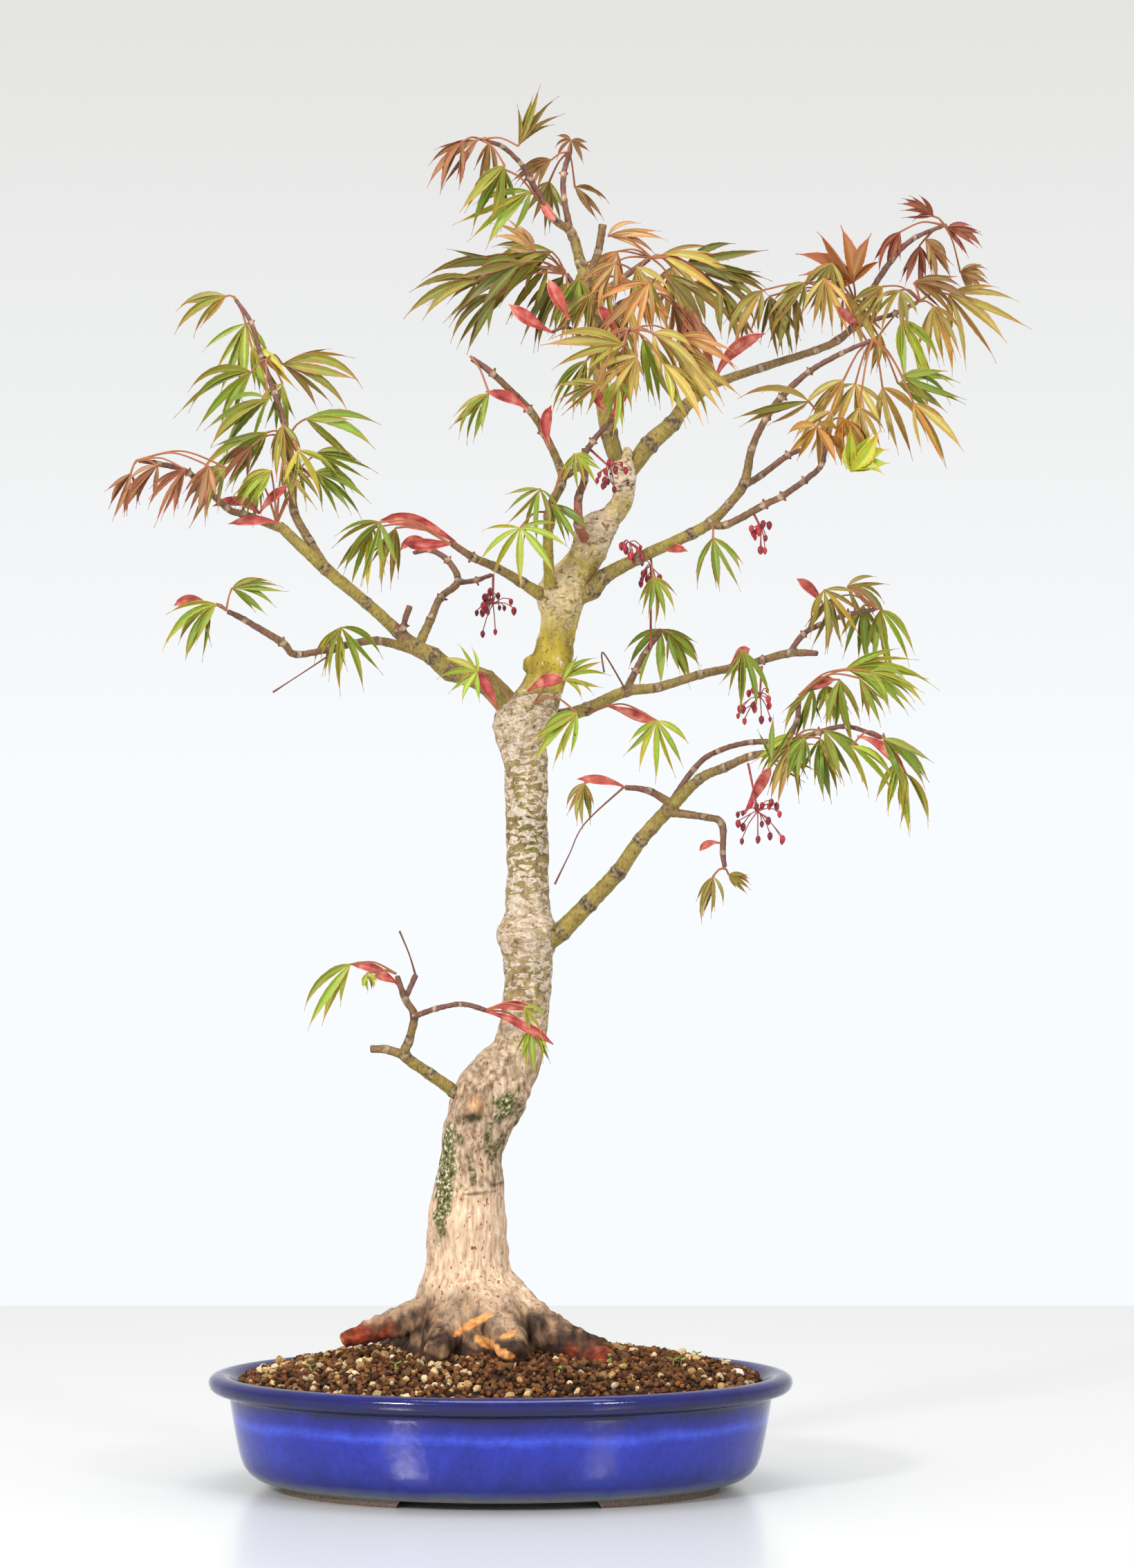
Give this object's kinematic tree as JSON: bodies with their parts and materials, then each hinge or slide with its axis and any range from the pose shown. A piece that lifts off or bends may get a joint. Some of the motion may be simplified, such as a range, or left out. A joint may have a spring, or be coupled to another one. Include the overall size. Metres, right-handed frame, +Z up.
{
  "type": "maple bonsai in an oval pot",
  "caption": "Small maple tree with palmate spring leaves, red bud scales and hanging flower clusters, growing in a shallow glazed oval pot of granular soil.",
  "frame": {"origin": "on the surface it stands on, under the middle of the object's box", "axes": "+Z up along the trunk, +X to the viewer's right along the pot's length, -Y towards the front"},
  "size_m": [0.4723, 0.228, 0.7144],
  "materials": {
    "pot_glaze": "gloss",
    "net": "matte",
    "soil": "matte",
    "bark": "matte",
    "twig_bark": "satin",
    "leaf": "satin",
    "bud_scale": "satin",
    "flower": "satin"
  },
  "bodies": {
    "root": {"branch_basal": "twig_bark", "bud_scales_basal": "bud_scale", "bud_scales_collar": "bud_scale", "bud_scales_left_tip": "bud_scale", "drainage_mesh_left": "net", "drainage_mesh_right": "net", "flowers_front": "flower", "flowers_left": "flower", "flowers_low_right": "flower", "flowers_middle_right": "flower", "flowers_second_right": "flower", "leader": "twig_bark", "leaves_apex_left": "leaf", "leaves_apex_mid": "leaf", "leaves_apex_right": "leaf", "leaves_basal_front": "leaf", "leaves_basal_left": "leaf", "leaves_collar_left": "leaf", "leaves_collar_right": "leaf", "leaves_crown_front": "leaf", "leaves_crown_left": "leaf", "leaves_crown_low": "leaf", "leaves_crown_right": "leaf", "leaves_left_base": "leaf", "leaves_left_lower": "leaf", "leaves_left_mid": "leaf", "leaves_left_tip": "leaf", "leaves_left_top": "leaf", "leaves_left_under": "leaf", "leaves_low_down": "leaf", "leaves_low_far": "leaf", "leaves_low_left": "leaf", "leaves_low_mid": "leaf", "leaves_low_twig": "leaf", "leaves_low_up": "leaf", "leaves_mid_hang": "leaf", "leaves_mid_low": "leaf", "leaves_right_inner": "leaf", "leaves_right_mid": "leaf", "leaves_right_star": "leaf", "leaves_right_top": "leaf", "leaves_right_upper": "leaf", "leaves_second_mid": "leaf", "leaves_second_tip": "leaf", "leaves_second_top": "leaf", "leaves_second_twig": "leaf", "leaves_shoot_green": "leaf", "leaves_shoot_mid": "leaf", "leaves_twig_collar": "leaf", "limb_left": "twig_bark", "limb_low_right": "twig_bark", "limb_middle_right": "twig_bark", "limb_second_right": "twig_bark", "limb_upper_right": "twig_bark", "pot": "pot_glaze", "shoot_green": "twig_bark", "shoot_red": "twig_bark", "soil": "soil", "trunk": "bark", "twig_collar": "twig_bark"}
  },
  "joints": []
}
